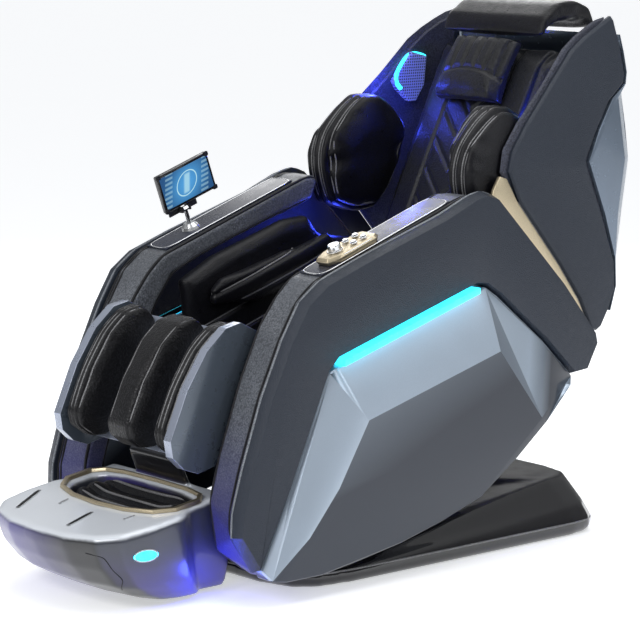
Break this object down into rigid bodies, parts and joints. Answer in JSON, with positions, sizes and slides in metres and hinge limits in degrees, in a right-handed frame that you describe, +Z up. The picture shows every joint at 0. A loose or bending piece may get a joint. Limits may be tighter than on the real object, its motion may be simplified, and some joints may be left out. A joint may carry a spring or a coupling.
{
  "type": "massage chair",
  "caption": "Reclining full-body massage chair with winged back, padded arms, lifting calf and foot rest, roller track and a low floor base.",
  "frame": {"origin": "centre of the bounding box, on the floor", "axes": "+X to the sitter's left, +Y towards the rear, +Z up; the sitter faces -Y"},
  "size_m": [0.73, 1.453, 1.19],
  "materials": {
    "gloss_black": "polished",
    "frame_steel": "satin",
    "matte_black": "satin",
    "bright_steel": "polished",
    "black_leather": "soft grain",
    "slate": "finely textured",
    "silver_blue": "metallic gloss",
    "cyan_light": "lit strip",
    "grey_leather": "pebbled",
    "gold": "brushed",
    "screen": "gloss",
    "speaker_mesh": "perforated",
    "roller_rubber": "matte"
  },
  "bodies": {
    "base": {"base_cover": "gloss_black", "base_frame": "frame_steel"},
    "carriage": {"slide_carriage": "frame_steel"},
    "actuator_body": {"tilt_actuator_body": "matte_black"},
    "actuator_rod": {"tilt_actuator_rod": "bright_steel"},
    "seat": {"seat_frame": "frame_steel", "seat_cushion": "black_leather", "side_panel_left": "slate", "side_panel_right": "slate", "lower_cover_left": "silver_blue", "lower_cover_right": "silver_blue", "side_led_left": "cyan_light", "side_led_right": "cyan_light", "arm_pad_left": "grey_leather", "arm_pad_right": "grey_leather", "arm_top_panel_left": "gloss_black", "arm_top_panel_right": "gloss_black", "inner_pad_left": "black_leather", "inner_pad_right": "black_leather", "forearm_airbag_left": "black_leather", "forearm_airbag_right": "black_leather", "control_pod": "gold", "tablet_socket": "bright_steel"},
    "knob": {"control_knob": "bright_steel"},
    "press_1": {"button_1": "bright_steel"},
    "press_2": {"button_2": "bright_steel"},
    "press_3": {"button_3": "bright_steel"},
    "press_4": {"button_4": "bright_steel"},
    "stem": {"tablet_stem": "bright_steel"},
    "tablet": {"tablet_holder": "matte_black", "tablet": "screen"},
    "back": {"back_frame": "frame_steel", "back_pad": "black_leather", "back_shell": "silver_blue", "head_flap": "black_leather", "wing_panel_left": "slate", "wing_panel_right": "slate", "wing_rim_left": "grey_leather", "wing_rim_right": "grey_leather", "gold_trim_left": "gold", "gold_trim_right": "gold", "shoulder_airbag_left": "black_leather", "shoulder_airbag_right": "black_leather", "speaker_left": "speaker_mesh", "speaker_right": "speaker_mesh"},
    "pillow": {"head_pillow": "black_leather"},
    "massage_unit": {"massage_carriage": "matte_black"},
    "kneader_left": {"massage_arm_left": "bright_steel"},
    "kneader_right": {"massage_arm_right": "bright_steel"},
    "wheel_left_low": {"roller_left_low": "roller_rubber"},
    "wheel_left_high": {"roller_left_high": "roller_rubber"},
    "wheel_right_low": {"roller_right_low": "roller_rubber"},
    "wheel_right_high": {"roller_right_high": "roller_rubber"},
    "leg": {"leg_shell": "silver_blue", "calf_pad_left": "black_leather", "calf_pad_centre": "black_leather", "calf_pad_right": "black_leather"},
    "foot": {"foot_shell": "silver_blue", "foot_ring": "gold", "foot_pad": "black_leather"}
  },
  "joints": [
    {"name": "chair_slide", "type": "slide", "parent": "base", "child": "carriage", "axis": [0, -1, 0], "range_m": [0, 0.1]},
    {"name": "seat_tilt", "type": "hinge", "parent": "carriage", "child": "seat", "pos_m": [0, -0.0215, 0.25], "axis": [-1, 0, 0], "range_deg": [0, 15]},
    {"name": "actuator_swing", "type": "hinge", "parent": "carriage", "child": "actuator_body", "pos_m": [0, -0.1115, 0.115], "axis": [-1, 0, 0], "range_deg": [0, 8.2]},
    {"name": "actuator_stroke", "type": "slide", "parent": "actuator_body", "child": "actuator_rod", "axis": [0, -0.4831, 0.8756], "range_m": [0, 0.0364]},
    {"name": "back_recline", "type": "hinge", "parent": "seat", "child": "back", "pos_m": [0, 0.2585, 0.38], "axis": [-1, 0, 0], "range_deg": [0, 25]},
    {"name": "leg_lift", "type": "hinge", "parent": "seat", "child": "leg", "pos_m": [0, -0.2765, 0.465], "axis": [-1, 0, 0], "range_deg": [0, 60]},
    {"name": "foot_extend", "type": "slide", "parent": "leg", "child": "foot", "axis": [0, -0.4848, -0.8746], "range_m": [0, 0.1205]},
    {"name": "pillow_height", "type": "slide", "parent": "back", "child": "pillow", "axis": [0, 0.4229, 0.9062], "range_m": [-0.06, 0]},
    {"name": "massage_travel", "type": "slide", "parent": "back", "child": "massage_unit", "axis": [0, 0.4229, 0.9062], "range_m": [-0.15, 0.34]},
    {"name": "knead_left", "type": "hinge", "parent": "massage_unit", "child": "kneader_left", "pos_m": [0, 0.48328, 0.643], "axis": [-1, 0, 0], "range_deg": [-10, 10]},
    {"name": "roll_left_low", "type": "hinge", "parent": "kneader_left", "child": "wheel_left_low", "pos_m": [0, 0.44619, 0.59189], "axis": [-1, 0, 0], "continuous": true},
    {"name": "roll_left_high", "type": "hinge", "parent": "kneader_left", "child": "wheel_left_high", "pos_m": [0, 0.49863, 0.70426], "axis": [-1, 0, 0], "continuous": true},
    {"name": "knead_right", "type": "hinge", "parent": "massage_unit", "child": "kneader_right", "pos_m": [0, 0.48328, 0.643], "axis": [-1, 0, 0], "range_deg": [-10, 10]},
    {"name": "roll_right_low", "type": "hinge", "parent": "kneader_right", "child": "wheel_right_low", "pos_m": [0, 0.44619, 0.59189], "axis": [-1, 0, 0], "continuous": true},
    {"name": "roll_right_high", "type": "hinge", "parent": "kneader_right", "child": "wheel_right_high", "pos_m": [0, 0.49863, 0.70426], "axis": [-1, 0, 0], "continuous": true},
    {"name": "knob_turn", "type": "hinge", "parent": "seat", "child": "knob", "pos_m": [0.26825, -0.1431, 0.70399], "axis": [0, -0.3328, 0.943], "range_deg": [-150, 150]},
    {"name": "press_button_1", "type": "slide", "parent": "seat", "child": "press_1", "axis": [0, 0.3328, -0.943], "range_m": [0, 0.002], "stiffness_N_per_m": 400},
    {"name": "press_button_2", "type": "slide", "parent": "seat", "child": "press_2", "axis": [0, 0.3328, -0.943], "range_m": [0, 0.002], "stiffness_N_per_m": 400},
    {"name": "press_button_3", "type": "slide", "parent": "seat", "child": "press_3", "axis": [0, 0.3328, -0.943], "range_m": [0, 0.002], "stiffness_N_per_m": 400},
    {"name": "press_button_4", "type": "slide", "parent": "seat", "child": "press_4", "axis": [0, 0.3328, -0.943], "range_m": [0, 0.002], "stiffness_N_per_m": 400},
    {"name": "tablet_swivel", "type": "hinge", "parent": "seat", "child": "stem", "pos_m": [-0.26425, -0.11232, 0.69788], "axis": [0, -0.3328, 0.943], "range_deg": [-70, 70]},
    {"name": "tablet_tilt", "type": "hinge", "parent": "stem", "child": "tablet", "pos_m": [-0.26425, -0.12829, 0.74315], "axis": [0, 0.943, 0.3328], "range_deg": [-30, 30]}
  ],
  "couplings": [
    {"joint": "actuator_swing", "follows": "seat_tilt", "ratio": 0.53991},
    {"joint": "actuator_stroke", "follows": "seat_tilt", "m_per_rad": 0.13824},
    {"joint": "foot_extend", "follows": "leg_lift", "m_per_rad": 0.11459}
  ]
}
